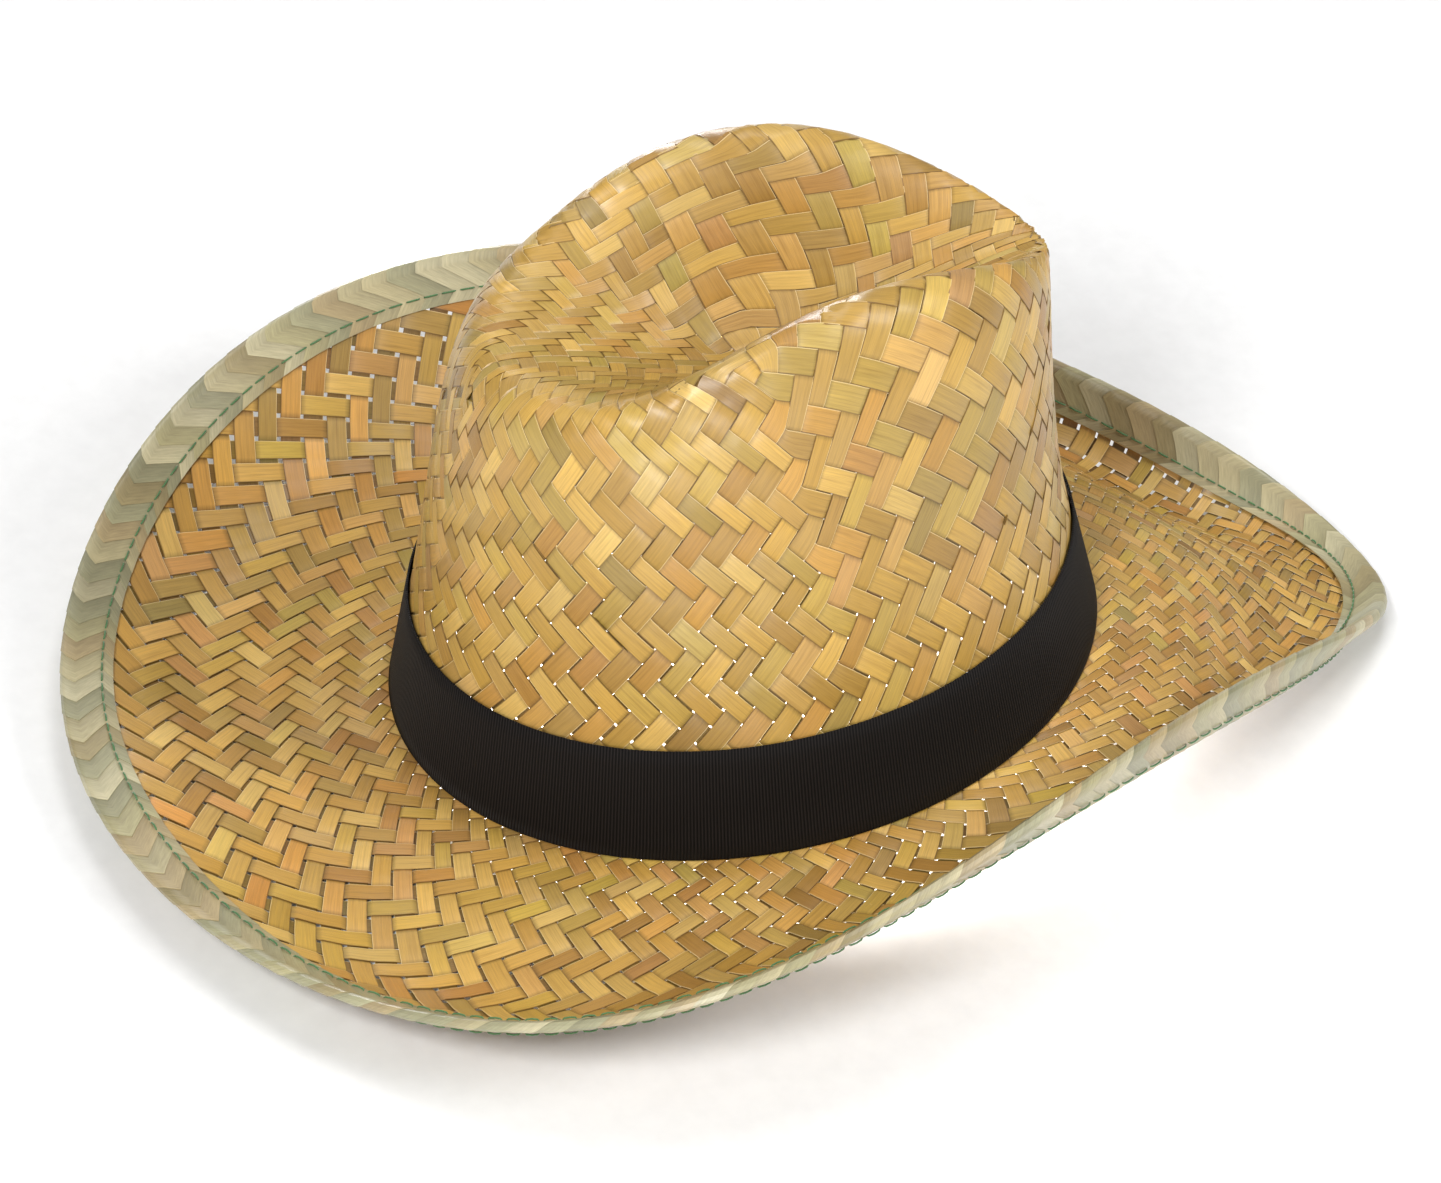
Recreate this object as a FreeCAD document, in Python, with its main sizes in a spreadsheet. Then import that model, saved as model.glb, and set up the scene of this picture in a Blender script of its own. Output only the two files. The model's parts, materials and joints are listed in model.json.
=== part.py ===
# A straw cowboy hat: woven crown and brim, bound and wired brim edge, ribbon and sweatband.
# The hat is drawn about its head line, front toward -Y, then leaned back to how it rests.
import FreeCAD, Part
import Sketcher
import math
import os

doc = FreeCAD.newDocument("StrawHat")

# ---- driving dimensions, in millimetres and degrees ----

headSizes = {
    "head_length": 202, "head_width": 165,
    "weave_thickness": 1.6, "seam_gap": 0.1,
    "dent_along": -2, "dent_floor": 104,
    "side_hold": 0.45, "shoulder_hold": 0.54, "side_pinch": 5, "pinch_spread": 0.12,
    "root_hold": 0.6, "edge_hold": 0.5,
}
edgeSizes = {
    "binding_width": 12.5, "braid_thickness": 1.0, "binding_gap": 0.1,
    "wire_diameter": 1.2,
    "ferrule_wall": 0.2, "ferrule_length": 18, "ferrule_gap": 0.05,
    "thread_diameter": 0.5, "stitch_inset": 9, "stitch_gap": 0.05, "stitch_count": 216,
    "stitch_fill": 0.8,
}
bandSizes = {
    "band_height": 34.5, "band_lean": 7, "ribbon_thickness": 0.7, "ribbon_gap": 0.2,
    "ribbon_lap": 26, "glue_height": 7, "glue_length": 30, "glue_drop": 1.5, "glue_skin": 0.02,
    "sweatband_height": 30, "sweatband_thickness": 1.4, "sweatband_gap": 0.2, "sweatband_seam": 4,
    "sweatband_stitches": 120,
    "label_width": 20, "label_height": 14, "label_thickness": 0.5, "label_gap": 0.3,
    "label_corner": 2,
}

# Six stations run from the front round to the back of each side, 36 degrees apart.
# Rows that start with brim_reach and crown_inset are measured from the head oval.
stations = ["front", "front_corner", "front_side", "back_side", "back_corner", "back"]
stationRows = {
    "brim_reach_side": [0, -2.5, 32, 70.5, 45, 0],
    "brim_reach_along": [-97, -81.5, -28.5, 33, 75.5, 88.5],
    "brim_rise": [-50, -23, 25.5, 32.5, 18.5, 18.5],
    "brim_root_slope": [-21, -8, -10, -1.5, -1, 0],
    "brim_edge_slope": [-16.5, 46, 76, 45, 43, 13],
    "crown_inset_side": [0, -26, -39, -40, -25, 0],
    "crown_inset_along": [10.5, 16, 19, 3, -23, -33.5],
    "crown_rise": [116, 132.5, 149, 136.5, 129, 128],
    "dent_wall_hold": [0.28, 0.28, 0.28, 0.26, 0.2, 0.2],
    "dent_floor_hold": [0.42, 0.42, 0.42, 0.3, 0.14, 0.12],
}

# How finely each piece is drawn: spans along a line, flats round a fold, wire or thread.
spans = {"round": 72, "brim": 14, "dent": 10, "wall": 12, "foot": 4, "braid": 4, "sleeve": 8}
flatsRound = {"fold_outside": 6, "fold_inside": 4, "wire": 8, "thread": 6}
small = 0.001

sheet = doc.addObject("Spreadsheet::Sheet", "Sizes")


def fillSheet():
    cells = {}
    for group in (headSizes, edgeSizes, bandSizes):
        cells.update(group)
    for rowName, values in stationRows.items():
        for station, value in zip(stations, values):
            cells[rowName + "_at_" + station] = value
    for line, (name, value) in enumerate(cells.items(), start=1):
        sheet.set("A%d" % line, name)
        sheet.set("B%d" % line, str(value))
        sheet.setAlias("B%d" % line, name)
    doc.recompute()

    return {name: float(sheet.get(name)) for name in cells}


size = fillSheet()
up = FreeCAD.Vector(0, 0, 1)


# ---- smooth curves round the hat through the stations ----

def waveAmounts(rowName, wave):
    last = len(stations) - 1
    values = [size[rowName + "_at_" + station] for station in stations]
    share = [0.5] + [1] * (last - 1) + [0.5]
    amounts = []
    for k in range(last + 1):
        total = sum(share[j] * values[j] * wave(math.pi * k * j / last) for j in range(last + 1))
        amounts.append(2 / last * share[k] * total)
    return amounts


# Sideways rows change sign across the middle of the hat, all the others are mirrored.
rowWaves = {name: math.sin if name.endswith("_side") else math.cos for name in stationRows}
rowAmounts = {name: waveAmounts(name, rowWaves[name]) for name in stationRows}


def around(rowName, angle):
    wave = rowWaves[rowName]
    return sum(amount * wave(k * angle) for k, amount in enumerate(rowAmounts[rowName]))


def headPoint(angle, inset=0, height=0):
    side = (size["head_width"] / 2 - inset) * math.sin(angle)
    along = -(size["head_length"] / 2 - inset) * math.cos(angle)
    return FreeCAD.Vector(side, along, height)


def slopeDirection(outward, degrees):
    slope = math.radians(degrees)
    return outward * math.cos(slope) + up * math.sin(slope)


def bezier(corners, share):
    a, b, c, d = corners
    rest = 1 - share
    return a * rest**3 + b * (3 * rest**2 * share) + c * (3 * rest * share**2) + d * share**3


def level(vector):
    flat = FreeCAD.Vector(vector.x, vector.y, 0)
    return flat.normalize()


# ---- the brim and crown as lines from the head oval ----

def brimCorners(angle):
    root = headPoint(angle, -size["seam_gap"])
    reach = FreeCAD.Vector(around("brim_reach_side", angle), around("brim_reach_along", angle), 0)
    edge = headPoint(angle) + reach + up * around("brim_rise", angle)
    outward = level(reach)
    rootWay = slopeDirection(outward, around("brim_root_slope", angle))
    edgeWay = slopeDirection(outward, around("brim_edge_slope", angle))
    nearRoot = root + rootWay * (size["root_hold"] * reach.Length)
    nearEdge = edge - edgeWay * (size["edge_hold"] * (edge - root).Length)
    return [root, nearRoot, nearEdge, edge]


def wallCorners(angle):
    base = headPoint(angle)
    wallTop = headPoint(angle, size["band_lean"], size["band_height"])
    inset = FreeCAD.Vector(around("crown_inset_side", angle), around("crown_inset_along", angle), 0)
    ridge = base + inset + up * around("crown_rise", angle)
    run = FreeCAD.Vector(ridge.x - wallTop.x, ridge.y - wallTop.y, 0)
    wallWay = (wallTop - base).normalize()
    pinchReach = (abs(math.sin(angle)) - 1) / size["pinch_spread"]
    pinch = level(run) * (size["side_pinch"] * math.exp(-pinchReach**2))
    aboveBand = wallTop + wallWay * (size["side_hold"] * (ridge - wallTop).Length)
    belowRidge = ridge - run * size["shoulder_hold"]
    return [wallTop, aboveBand + pinch, belowRidge + pinch, ridge]


def dentCorners(angle):
    ridge = wallCorners(angle)[3]
    floor = FreeCAD.Vector(0, size["dent_along"], size["dent_floor"])
    run = FreeCAD.Vector(floor.x - ridge.x, floor.y - ridge.y, 0)
    nearFloor = floor - run * around("dent_floor_hold", angle)
    nearRidge = ridge + run * around("dent_wall_hold", angle)
    return [floor, nearFloor, nearRidge, ridge]


def shares(count):
    return [index / count for index in range(count + 1)]


def brimLine(angle):
    corners = brimCorners(angle)
    return [bezier(corners, share) for share in shares(spans["brim"])]


def crownLine(angle):
    # From the middle of the dent over the ridge and down the wall to the head line.
    dent = [bezier(dentCorners(angle), share) for share in shares(spans["dent"])]
    wall = [bezier(wallCorners(angle), 1 - share) for share in shares(spans["wall"])]
    foot = [headPoint(angle, size["band_lean"] * (1 - share), size["band_height"] * (1 - share))
            for share in shares(spans["foot"])]
    return dent + wall[1:] + foot[1:] + [headPoint(angle, 0, -size["weave_thickness"])]


# ---- smooth skins through rows of control points ----

angles = [2 * math.pi * step / spans["round"] for step in range(spans["round"])]


def squareTo(rows, row, column):
    ahead = rows[row][min(column + 1, len(rows[row]) - 1)] - rows[row][max(column - 1, 0)]
    beside = rows[(row + 1) % len(rows)][column] - rows[row - 1][column]
    if beside.Length < 0.001:
        return up
    return ahead.cross(beside).normalize()


def wovenSections(rows):
    # The outer face of the weave, its border, the inner face back and the other border.
    thick = size["weave_thickness"]
    sections = []
    for row, outer in enumerate(rows):
        inner = [point - squareTo(rows, row, column) * thick for column, point in enumerate(outer)]
        inner.reverse()
        sections.append([outer, [outer[-1], inner[0]], inner, [inner[-1], outer[0]]])
    return sections


def knots(count, degree, closed):
    if closed:
        return list(range(count + 1)), [1] * (count + 1)
    inner = count - degree - 1
    return list(range(inner + 2)), [degree + 1] + [1] * inner + [degree + 1]


def skinFace(rows, closedSection=False):
    degree = min(3, len(rows[0]) - 1)
    ringKnots, ringCounts = knots(len(rows), 3, True)
    sectionKnots, sectionCounts = knots(len(rows[0]), degree, closedSection)
    surface = Part.BSplineSurface()
    surface.buildFromPolesMultsKnots(
        rows, ringCounts, sectionCounts, ringKnots, sectionKnots, True, closedSection, 3, degree)
    return surface.toShape()


def closeUp(faces):
    shell = Part.Shell(faces)
    if len(faces) > 1:
        shell.sewShape()
    solid = Part.Solid(shell)
    if solid.Volume < 0:
        solid.reverse()
    return solid


def skinSolid(sections):
    # A border whose two points meet, as at the middle of the dent, needs no face.
    faces = []
    for side in range(len(sections[0])):
        rows = [section[side] for section in sections]
        if len(rows[0]) > 2 or (rows[0][0] - rows[1][0]).Length > 0.001:
            faces.append(skinFace(rows))
    return closeUp(faces)


# ---- the brim edge, where the binding, its wire and its stitches follow the weave ----

def brimFrame(angle, share):
    here = bezier(brimCorners(angle), share)
    beside = (bezier(brimCorners(angle + small), share) - here) * (1 / small)
    outward = (here - bezier(brimCorners(angle), share - small)) * (1 / small)
    return here, beside, outward


def insideEdge(angle, inset):
    # The point of the weave's middle that lies this far inside the edge, and its square.
    edge, along, outward = brimFrame(angle, 1)
    along.normalize()
    square = outward.cross(along).normalize()
    out = along.cross(square)
    target = edge - out * inset
    turn, share = angle, 1 - inset / outward.Length
    for attempt in range(4):
        here, turnStep, shareStep = brimFrame(turn, share)
        miss = target - here
        a, b = turnStep.dot(along), shareStep.dot(along)
        c, d = turnStep.dot(out), shareStep.dot(out)
        whole = a * d - b * c
        turn += (miss.dot(along) * d - miss.dot(out) * b) / whole
        share += (miss.dot(out) * a - miss.dot(along) * c) / whole
    here, turnStep, shareStep = brimFrame(turn, share)
    localSquare = shareStep.cross(turnStep).normalize()
    return here - localSquare * (size["weave_thickness"] / 2), localSquare, out


leafInner = size["weave_thickness"] / 2 + size["binding_gap"]
leafOuter = leafInner + size["braid_thickness"]
ferruleRadius = size["wire_diameter"] / 2 + size["ferrule_gap"] + size["ferrule_wall"]
foldRoom = ferruleRadius + size["binding_gap"]
foldInner = max(leafInner, ferruleRadius + size["binding_gap"])


def edgeLines(angle):
    # The weave's middle from the binding's inner border to the edge.
    insets = [size["binding_width"] * (1 - share) for share in shares(spans["braid"])]
    return [insideEdge(angle, inset) for inset in insets]


def bindingSection(angle):
    lines = edgeLines(angle)
    middle, square, out = lines[-1]
    fold = middle + out * foldRoom
    bulge = foldInner - leafInner

    def leaf(side, offset):
        offsets = [offset] * (len(lines) - 1) + [offset + bulge]
        return [point + way * (lift * side) for (point, way, _), lift in zip(lines, offsets)]

    def nose(radius, flats):
        turns = [math.radians(90 - 180 * corner / flats) for corner in range(flats + 1)]
        bends = [fold + (square * math.sin(turn) + out * math.cos(turn)) * radius for turn in turns]
        return [[start, end] for start, end in zip(bends, bends[1:])]

    outerNose = nose(leafOuter + bulge, flatsRound["fold_outside"])
    innerNose = nose(foldInner, flatsRound["fold_inside"])
    outer = chain([leaf(1, leafOuter)] + outerNose + [leaf(-1, leafOuter)[::-1]])
    inner = chain([leaf(1, leafInner)] + innerNose + [leaf(-1, leafInner)[::-1]])
    back = [side[::-1] for side in inner[::-1]]
    return outer + [[outer[-1][-1], back[0][0]]] + back + [[back[-1][-1], outer[0][0]]]


def chain(sides):
    # Straight flats join each side of the outline to the next.
    joined = [sides[0]]
    for side in sides[1:]:
        if (joined[-1][-1] - side[0]).Length > 0.001:
            joined.append([joined[-1][-1], side[0]])
        joined.append(side)
    return joined


def stitches(side):
    offset = side * (leafOuter + size["thread_diameter"] / 2 + size["stitch_gap"])
    found = [insideEdge(2 * math.pi * index / size["stitch_count"], size["stitch_inset"])
             for index in range(int(size["stitch_count"]))]
    centres = [point + square * offset for point, square, _ in found]
    return stitchRow(centres)


def threadRun(foot, run):
    side = run.cross(up).normalize() * (size["thread_diameter"] / 2)
    rise = side.cross(run).normalize() * (size["thread_diameter"] / 2)
    flats = flatsRound["thread"]
    turns = [2 * math.pi * corner / flats for corner in range(flats)]
    ring = [foot + side * math.cos(turn) + rise * math.sin(turn) for turn in turns]
    return Part.Face(Part.makePolygon(ring + ring[:1])).extrude(run)


def stitchRow(centres):
    # Each stitch is a short straight run of thread with a needle hole between runs.
    runs = []
    for start, end in zip(centres, centres[1:] + centres[:1]):
        run = (end - start) * size["stitch_fill"]
        runs.append(threadRun((start + end - run) * 0.5, run))
    return Part.makeCompound(runs)


def wireSection(angle):
    # A round wire drawn with flats, its ends butted inside the sleeve.
    middle, square, out = insideEdge(angle, 0)
    centre = middle + out * foldRoom
    flats = flatsRound["wire"]
    turns = [2 * math.pi * corner / flats for corner in range(flats + 1)]
    radius = size["wire_diameter"] / 2
    ring = [centre + (square * math.sin(turn) + out * math.cos(turn)) * radius for turn in turns[:-1]]
    ring.append(ring[0])
    return [[start, end] for start, end in zip(ring, ring[1:])]


def sleevePath(reach):
    turns = [math.pi + reach * (2 * share - 1) for share in shares(spans["sleeve"])]
    found = [insideEdge(turn, 0) for turn in turns]
    curve = Part.BSplineCurve()
    curve.interpolate([point + out * foldRoom for point, _, out in found])
    return curve


def rodAlong(curve, radius):
    circle = Part.Circle(curve.StartPoint, curve.tangent(curve.FirstParameter)[0], radius)
    path = Part.Wire([curve.toShape()])
    return path.makePipeShell([Part.Wire([circle.toShape()])], True, True)


# ---- where the hat rests: on the front of its edge and the back of its brim ----

def restTilt():
    under = []
    for angle in angles:
        under += [point - up * size["weave_thickness"] for point in brimLine(angle)]
        under.append(insideEdge(angle, 0)[0] - up * (leafOuter + foldInner - leafInner))
    low, high = 0.0, 45.0
    for attempt in range(40):
        tilt = (low + high) / 2
        turned = [(point.y, point.z * math.cos(math.radians(tilt))
                   - point.y * math.sin(math.radians(tilt))) for point in under]
        frontLow = min(height for along, height in turned if along < 0)
        backLow = min(height for along, height in turned if along > 0)
        if frontLow < backLow:
            low = tilt
        else:
            high = tilt
    return tilt


# ---- the pieces ----

made = {}


def keep(name, obj):
    obj.Label = name
    made[name] = obj


def shaped(name, shape):
    obj = doc.addObject("Part::Feature", name)
    obj.Shape = shape
    keep(name, obj)


def makeWeave():
    shaped("crown", skinSolid(wovenSections([crownLine(angle) for angle in angles])))
    shaped("brim", skinSolid(wovenSections([brimLine(angle) for angle in angles])))


def makeEdge():
    shaped("edge_binding", skinSolid([bindingSection(angle) for angle in angles]))
    shaped("binding_thread_top", stitches(1))
    shaped("binding_thread_under", stitches(-1))


def makeWire():
    shaped("brim_wire", skinSolid([wireSection(angle) for angle in angles]))
    back = insideEdge(math.pi, 0)[0]
    beside = insideEdge(math.pi + small, 0)[0]
    reach = size["ferrule_length"] / 2 * small / (beside - back).Length
    sleeve = rodAlong(sleevePath(reach), ferruleRadius)
    bore = rodAlong(sleevePath(1.2 * reach), size["wire_diameter"] / 2 + size["ferrule_gap"])
    shaped("wire_ferrule", sleeve.cut(bore))


def ovalAt(name, heightText, growText):
    # An oval that follows the lean of the crown wall at this height.
    oval = doc.addObject("Part::Ellipse", name)
    lean = "Sizes.band_lean * (%s) / Sizes.band_height" % heightText
    oval.setExpression("MajorRadius", "Sizes.head_length / 2 - %s + %s" % (lean, growText))
    oval.setExpression("MinorRadius", "Sizes.head_width / 2 - %s + %s" % (lean, growText))
    oval.Placement = FreeCAD.Placement(FreeCAD.Vector(), FreeCAD.Rotation(up, 90))
    oval.setExpression("Placement.Base.z", heightText)
    return oval


def cone(name, lowText, highText, growText):
    loft = doc.addObject("Part::Loft", name)
    loft.Sections = [ovalAt(name + "_low", lowText, growText),
                     ovalAt(name + "_high", highText, growText)]
    loft.Solid = True
    loft.Ruled = True
    return loft


def sleeveBetween(name, lowText, highText, innerText, outerText):
    outer = cone(name + "_outside", lowText, highText, outerText)
    inner = cone(name + "_inside", lowText, highText, innerText)
    ring = doc.addObject("Part::Cut", name)
    ring.Base = outer
    ring.Tool = inner
    return ring


def makeRibbon():
    # One ribbon whose end laps over its start on the wearer's left.
    inner = "Sizes.ribbon_gap"
    outer = "(%s + Sizes.ribbon_thickness)" % inner
    lapped = "(%s + Sizes.ribbon_thickness)" % outer
    low, high = "Sizes.ribbon_gap", "Sizes.band_height"
    ring = sleeveBetween("ribbon_turn", low, high, inner, outer)
    lapRing = sleeveBetween("ribbon_lap_turn", low, high, outer, lapped)
    window = doc.addObject("Part::Box", "ribbon_lap_window")
    window.setExpression("Length", "Sizes.head_width")
    window.setExpression("Width", "Sizes.ribbon_lap")
    window.setExpression("Height", "Sizes.band_height + 2 * Sizes.ribbon_lap")
    window.setExpression("Placement.Base.y", "-Sizes.ribbon_lap / 2")
    window.setExpression("Placement.Base.z", "-Sizes.ribbon_lap")
    lap = doc.addObject("Part::Common", "ribbon_lap_piece")
    lap.Base = lapRing
    lap.Tool = window
    band = doc.addObject("Part::Fuse", "hat_band")
    band.Base = ring
    band.Tool = lap
    keep("hat_band", band)


def makeGlue():
    # Runs of glue between the crown wall and the ribbon, just below the ribbon's top edge.
    high = "(Sizes.band_height - Sizes.glue_drop)"
    low = "(%s - Sizes.glue_height)" % high
    ring = sleeveBetween("glue_ring", low, high, "Sizes.glue_skin",
                         "(Sizes.ribbon_gap - Sizes.glue_skin)")
    runs = doc.addObject("Part::MultiFuse", "glue_windows")
    windows = []
    for index in range(3):
        window = doc.addObject("Part::Box", "glue_window_%d" % index)
        window.setExpression("Length", "2 * Sizes.head_length")
        window.setExpression("Width", "Sizes.glue_length")
        window.setExpression("Height", "Sizes.band_height")
        turn = FreeCAD.Rotation(up, 60 * index + 30)
        corner = FreeCAD.Vector(-size["head_length"], -size["glue_length"] / 2, 0)
        window.Placement = FreeCAD.Placement(turn.multVec(corner), turn)
        windows.append(window)
    runs.Shapes = windows
    glue = doc.addObject("Part::Common", "band_glue")
    glue.Base = ring
    glue.Tool = runs
    keep("band_glue", glue)


def makeSweatband():
    outside = "(-Sizes.weave_thickness - Sizes.sweatband_gap)"
    inside = "(%s - Sizes.sweatband_thickness)" % outside
    ring = sleeveBetween("sweatband", "0", "Sizes.sweatband_height", inside, outside)
    keep("sweatband", ring)
    height = size["sweatband_seam"]
    depth = size["weave_thickness"] + size["sweatband_gap"] + size["sweatband_thickness"]
    depth += size["stitch_gap"] + size["thread_diameter"] / 2
    lean = size["band_lean"] / size["band_height"]
    count = int(size["sweatband_stitches"])
    centres = [headPoint(2 * math.pi * index / count, depth + lean * height, height)
               for index in range(count)]
    shaped("sweatband_thread", stitchRow(centres))


def originPlane(body, role):
    return next(item for item in body.Origin.OriginFeatures if item.Role == role)


def makeLabel():
    # A blank size label standing on the back of the sweatband.
    body = doc.addObject("PartDesign::Body", "size_label")
    outline = body.newObject("Sketcher::SketchObject", "label_outline")
    outline.AttachmentSupport = [(originPlane(body, "XZ_Plane"), "")]
    outline.MapMode = "FlatFace"
    corners = [(-1, -1), (1, -1), (1, 1), (-1, 1)]
    startWidth, startHeight = 16, 12
    for index, (across, rise) in enumerate(corners):
        nextAcross, nextRise = corners[(index + 1) % 4]
        start = FreeCAD.Vector(across * startWidth / 2, rise * startHeight / 2, 0)
        end = FreeCAD.Vector(nextAcross * startWidth / 2, nextRise * startHeight / 2, 0)
        outline.addGeometry(Part.LineSegment(start, end), False)
    for index in range(4):
        outline.addConstraint(Sketcher.Constraint("Coincident", index, 2, (index + 1) % 4, 1))
        kind = "Horizontal" if index % 2 == 0 else "Vertical"
        outline.addConstraint(Sketcher.Constraint(kind, index))
    outline.addConstraint(Sketcher.Constraint("Symmetric", 0, 1, 2, 1, -1, 1))
    outline.addConstraint(Sketcher.Constraint("DistanceX", 0, 1, 0, 2, startWidth))
    outline.renameConstraint(outline.ConstraintCount - 1, "width")
    outline.addConstraint(Sketcher.Constraint("DistanceY", 1, 1, 1, 2, startHeight))
    outline.renameConstraint(outline.ConstraintCount - 1, "height")
    outline.setExpression("Constraints.width", "Sizes.label_width")
    outline.setExpression("Constraints.height", "Sizes.label_height")
    pad = body.newObject("PartDesign::Pad", "label_pad")
    pad.Profile = outline
    pad.setExpression("Length", "Sizes.label_thickness")
    doc.recompute()
    upright = ["Edge%d" % (index + 1) for index, edge in enumerate(pad.Shape.Edges)
               if abs(edge.tangentAt(edge.FirstParameter).y) > 0.99]
    fillet = body.newObject("PartDesign::Fillet", "label_corners")
    fillet.Base = (pad, upright)
    fillet.setExpression("Radius", "Sizes.label_corner")
    keep("size_label", body)


def labelPlacement():
    # Its middle stands clear of the sweatband by the sag of the band across its width.
    depth = size["weave_thickness"] + size["sweatband_gap"] + size["sweatband_thickness"]
    height = size["sweatband_seam"] + size["label_gap"] + size["label_height"] / 2
    height += size["thread_diameter"]
    leanPerRise = size["band_lean"] / size["band_height"]
    alongRadius = size["head_length"] / 2 - depth - leanPerRise * height
    acrossRadius = size["head_width"] / 2 - depth - leanPerRise * height
    sag = alongRadius * (1 - math.sqrt(1 - (size["label_width"] / 2 / acrossRadius) ** 2))
    place = FreeCAD.Vector(0, alongRadius - sag - size["label_gap"], height)
    lean = math.degrees(math.atan(leanPerRise))
    return FreeCAD.Placement(place, FreeCAD.Rotation(FreeCAD.Vector(1, 0, 0), lean))


makeWeave()
makeEdge()
makeWire()
makeRibbon()
makeGlue()
makeSweatband()
makeLabel()
doc.recompute()


# ---- set the hat down: leaned back, lowest points on the ground, middle over the origin ----

restTolerance = 0.3


def surfacePoints(shapes):
    return [point for shape in shapes for point in shape.tessellate(restTolerance)[0]]


tilt = FreeCAD.Placement(FreeCAD.Vector(), FreeCAD.Rotation(FreeCAD.Vector(1, 0, 0), -restTilt()))
leaned = [tilt.multVec(point) for point in surfacePoints([obj.Shape for obj in made.values()])]
lowest = min(point.z for point in leaned)
middle = (min(point.y for point in leaned) + max(point.y for point in leaned)) / 2
rest = FreeCAD.Placement(FreeCAD.Vector(0, -middle, -lowest), tilt.Rotation)
for name, obj in made.items():
    local = labelPlacement() if name == "size_label" else FreeCAD.Placement()
    obj.Placement = rest.multiply(local)
doc.recompute()


# ---- check every object, then write each piece ----

for obj in doc.Objects:
    troubles = [state for state in obj.State if state in ("Invalid", "Error")]
    if troubles:
        raise RuntimeError("%s is %s" % (obj.Label, troubles))
for name, obj in made.items():
    if obj.Shape.isNull() or not obj.Shape.isValid():
        raise RuntimeError("%s has no sound shape" % name)

os.makedirs("parts", exist_ok=True)
for name, obj in made.items():
    obj.Shape.exportStep("parts/%s.step" % name)
    box = obj.Shape.BoundBox
    print("%-20s %d solid(s)  %8.0f mm3  z %.1f to %.1f"
          % (name, len(obj.Shape.Solids), obj.Shape.Volume, box.ZMin, box.ZMax))
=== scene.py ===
import json
import math

import bpy
import numpy as np
from mathutils import Matrix, Vector


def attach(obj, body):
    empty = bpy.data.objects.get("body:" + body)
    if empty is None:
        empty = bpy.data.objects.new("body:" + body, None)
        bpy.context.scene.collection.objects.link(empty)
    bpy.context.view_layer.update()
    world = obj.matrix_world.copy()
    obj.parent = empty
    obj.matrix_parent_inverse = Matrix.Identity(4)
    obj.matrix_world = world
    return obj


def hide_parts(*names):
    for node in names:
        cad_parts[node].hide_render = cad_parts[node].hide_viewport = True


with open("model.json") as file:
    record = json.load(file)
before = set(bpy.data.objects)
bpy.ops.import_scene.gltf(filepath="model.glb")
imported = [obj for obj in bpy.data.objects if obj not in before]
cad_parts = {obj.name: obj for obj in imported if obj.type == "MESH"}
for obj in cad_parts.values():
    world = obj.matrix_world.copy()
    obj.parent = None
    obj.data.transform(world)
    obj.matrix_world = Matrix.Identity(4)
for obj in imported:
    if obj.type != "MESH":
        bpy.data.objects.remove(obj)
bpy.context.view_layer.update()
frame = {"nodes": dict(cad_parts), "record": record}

chance = np.random.RandomState(21)

# The hat's own frame: the head oval lies in its level plane, the front looks along -Y.
# The record's head opening says where that frame lies when the hat is set down.
opening = frame["record"]["mounts"][0]
hatOrigin = np.array(opening["pos_m"]) * 1000
hatUp = -np.array(opening["axis"])
hatUp /= np.linalg.norm(hatUp)
hatAcross = np.array([1.0, 0.0, 0.0])
hatBack = np.cross(hatUp, hatAcross)
hatAxes = np.array([hatAcross, hatBack, hatUp])

# Sizes in millimetres. Each list gives one value at six stations: front, front corner,
# front side, back side, back corner and back.
hatShape = {
    "headLength": 202.0, "headWidth": 165.0, "weaveThickness": 1.6,
    "reachSide": [0, -2.5, 32, 70.5, 45, 0],
    "reachAlong": [-97, -81.5, -28.5, 33, 75.5, 88.5],
    "rise": [-50, -23, 25.5, 32.5, 18.5, 18.5],
    "rootSlope": [-21, -8, -10, -1.5, -1, 0],
    "edgeSlope": [-16.5, 46, 76, 45, 43, 13],
    "insetSide": [0, -26, -39, -40, -25, 0],
    "insetAlong": [10.5, 16, 19, 3, -23, -33.5],
    "crownRise": [116, 132.5, 149, 136.5, 129, 128],
    "rootHold": 0.6, "edgeHold": 0.5,
    "bandHeight": 34.5, "bandLean": 7.0,
    "sideHold": 0.45, "shoulderHold": 0.54, "sidePinch": 5.0, "pinchSpread": 0.12,
    "dentAlong": -2.0, "dentFloor": 104.0,
    "dentWallHold": [0.28, 0.28, 0.28, 0.26, 0.2, 0.2],
    "dentFloorHold": [0.42, 0.42, 0.42, 0.3, 0.14, 0.12],
    "rootOut": 0.1, "leadInsets": (2.4, 1.6, 0.8),
}
# How many points each line down the hat has, and how many lines go round it.
fineness = {"dent": 60, "wall": 90, "foot": 20, "brim": 60, "crownSkin": 260, "brimSkin": 90,
            "columns": 240}
stationShare = [0.5, 1, 1, 1, 1, 0.5]


def toRest(points):
    return (np.asarray(points) @ hatAxes + hatOrigin) / 1000


def around(row, angle, wave=np.cos):
    values = hatShape[row]
    # Six stations make a smooth curve round the hat, as a sum of six waves.
    total = np.zeros_like(angle)
    for turn in range(6):
        amount = 0.4 * stationShare[turn] * sum(
            stationShare[j] * values[j] * wave(math.pi * turn * j / 5) for j in range(6))
        total = total + amount * wave(turn * angle)
    return total


def headPoint(angle, inset=0.0, height=0.0):
    side = (hatShape["headWidth"] / 2 - inset) * np.sin(angle)
    along = -(hatShape["headLength"] / 2 - inset) * np.cos(angle)
    return np.stack([side, along, np.zeros_like(angle) + height], -1)


def unit(vectors):
    return vectors / np.maximum(np.linalg.norm(vectors, axis=-1, keepdims=True), 1e-9)


def flat(vectors):
    return vectors * np.array([1, 1, 0])


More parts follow.
